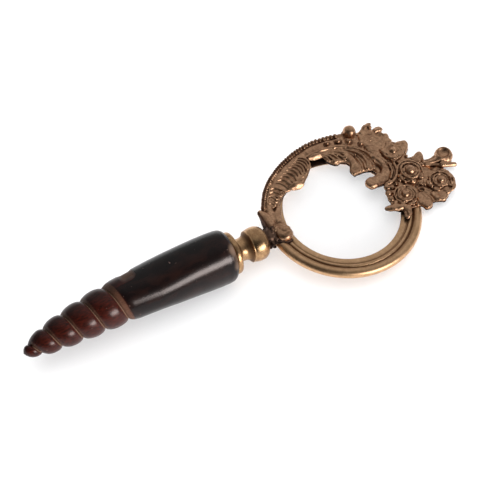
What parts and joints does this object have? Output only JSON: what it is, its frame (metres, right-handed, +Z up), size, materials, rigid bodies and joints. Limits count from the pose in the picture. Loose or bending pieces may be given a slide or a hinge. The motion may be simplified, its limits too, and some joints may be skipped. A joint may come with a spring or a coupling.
{
  "type": "hand magnifying glass",
  "caption": "Hand magnifying glass with a stepped brass ring, a cast rococo scrollwork crest, a turned neck and a carved, tapering horn handle.",
  "frame": {"origin": "centre of the bounding box on the table, with the glass lying as it rests: the horn's thick end and the ring's far edge touch the table", "axes": "+X along the handle towards the ring and crest, +Z up, +Y towards the crest's beaded side"},
  "size_m": [0.2264, 0.0787, 0.0269],
  "materials": {
    "horn": "polished dark horn, red-brown where carved",
    "turned_brass": "turned, polished, warm antique brass",
    "ring_brass": "rolled and turned, satin antique brass",
    "cast_brass": "cast, patinated brown in the recesses, rubbed bright on the high points",
    "solder_brass": "rough brazed joint, dark patina",
    "steel": "plain stud",
    "glass": "clear polished optical glass"
  },
  "bodies": {
    "root": {"crest_ball": "cast_brass", "crest_band": "cast_brass", "handle_tang": "steel", "horn_handle": "horn", "joint_collar": "solder_brass", "leaf_plate": "cast_brass", "lens": "glass", "lens_retainer": "ring_brass", "plume_scroll": "cast_brass", "ring_frame": "ring_brass", "rose_lower": "cast_brass", "rose_middle": "cast_brass", "rose_outer": "cast_brass", "rose_upper": "cast_brass", "stem_scroll": "cast_brass", "trumpet_scroll": "cast_brass", "turned_neck": "turned_brass"}
  },
  "joints": []
}
